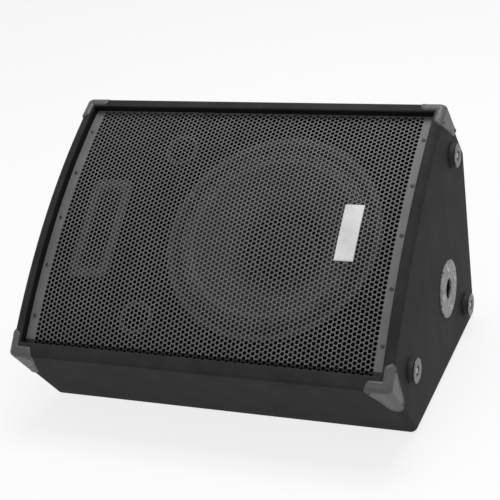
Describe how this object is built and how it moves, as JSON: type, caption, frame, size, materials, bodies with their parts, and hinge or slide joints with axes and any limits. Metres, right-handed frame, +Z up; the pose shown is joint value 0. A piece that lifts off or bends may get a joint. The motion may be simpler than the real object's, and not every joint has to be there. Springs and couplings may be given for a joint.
{
  "type": "stage monitor wedge",
  "caption": "Wedge-shaped floor loudspeaker with a bowed perforated grille, a woofer, a horn, a pole socket and end feet.",
  "frame": {"origin": "centre of the floor face, on the plane the wedge rests on", "axes": "+X across the cabinet towards the end with the pole socket, -Y towards the listener's side where the kick panel is, +Z up"},
  "size_m": [0.7155, 0.5261, 0.466],
  "materials": {
    "cabinet_paint": "matte black textured paint on plywood",
    "bare_plywood": "bare plywood",
    "baffle_paint": "matte black paint on plywood",
    "grille_steel": "satin dark grey powder coat",
    "badge_metal": "satin, bare",
    "foam": "soft foam",
    "corner_plastic": "moulded dark grey plastic",
    "black_screws": "blackened steel",
    "foot_rubber": "matte black rubber",
    "cap_metal": "satin zinc",
    "socket_metal": "satin cast",
    "basket_metal": "black painted casting",
    "surround_cloth": "treated cloth",
    "cone_paper": "matte ribbed paper pulp",
    "cap_cloth": "doped cloth",
    "copper": "copper winding",
    "spider_cloth": "resin-treated cloth",
    "magnet_steel": "plated",
    "ferrite": "matte ferrite",
    "moulded_plastic": "moulded black plastic",
    "titanium": "thin foil",
    "circuit_board": "solder mask",
    "capacitor_film": "wrapped film",
    "wire_jacket": "flexible jacket",
    "handle_grip": "ribbed grip",
    "lining": "open felt"
  },
  "bodies": {
    "cabinet": {"right_end_panel": "cabinet_paint", "left_end_panel": "cabinet_paint", "kick_panel": "cabinet_paint", "floor_panel": "cabinet_paint", "rear_panel": "cabinet_paint", "top_panel": "cabinet_paint", "window_brace": "bare_plywood", "baffle": "baffle_paint", "baffle_cleats": "bare_plywood", "grille": "grille_steel", "grille_rails": "baffle_paint", "grille_tapes": "foam", "grille_screws": "black_screws", "badge_plate": "badge_metal", "corner_lower_right": "corner_plastic", "corner_lower_left": "corner_plastic", "corner_upper_right": "corner_plastic", "corner_upper_left": "corner_plastic", "corner_screws": "black_screws", "foot_lower": "foot_rubber", "foot_upper": "foot_rubber", "foot_rear": "foot_rubber", "foot_caps": "cap_metal", "foot_screws": "black_screws", "pole_socket": "socket_metal", "pole_socket_screws": "black_screws", "woofer_frame": "basket_metal", "woofer_gasket": "foam", "woofer_surround": "surround_cloth", "woofer_spider": "spider_cloth", "woofer_top_plate": "magnet_steel", "woofer_magnet": "ferrite", "woofer_yoke": "magnet_steel", "woofer_screws": "black_screws", "horn_flare": "moulded_plastic", "horn_screws": "black_screws", "driver_front_plate": "magnet_steel", "driver_magnet": "ferrite", "driver_rear_plate": "magnet_steel", "driver_clamp_ring": "moulded_plastic", "driver_cover": "moulded_plastic", "port_tube_upper": "moulded_plastic", "port_tube_lower": "moulded_plastic", "crossover_board": "circuit_board", "crossover_coils": "copper", "crossover_capacitors": "capacitor_film", "terminal_dish": "moulded_plastic", "speaker_sockets": "moulded_plastic", "terminal_screws": "black_screws", "woofer_wires": "wire_jacket", "horn_wires": "wire_jacket", "input_wires": "wire_jacket", "handle_cup": "moulded_plastic", "handle_bar": "handle_grip", "handle_screws": "black_screws", "lining_pads": "lining"},
    "cone_assembly": {"woofer_cone": "cone_paper", "woofer_dust_cap": "cap_cloth", "voice_coil": "copper"},
    "diaphragm": {"driver_diaphragm": "titanium"}
  },
  "joints": [
    {"name": "cone_travel", "type": "slide", "parent": "cabinet", "child": "cone_assembly", "axis": [0, -0.5878, 0.809], "range_m": [-0.005, 0.005], "stiffness_N_per_m": 6000, "deforming": ["woofer_surround", "woofer_spider"]},
    {"name": "diaphragm_travel", "type": "slide", "parent": "cabinet", "child": "diaphragm", "axis": [0, -0.5878, 0.809], "range_m": [-0.0004, 0.0004], "stiffness_N_per_m": 3000}
  ]
}
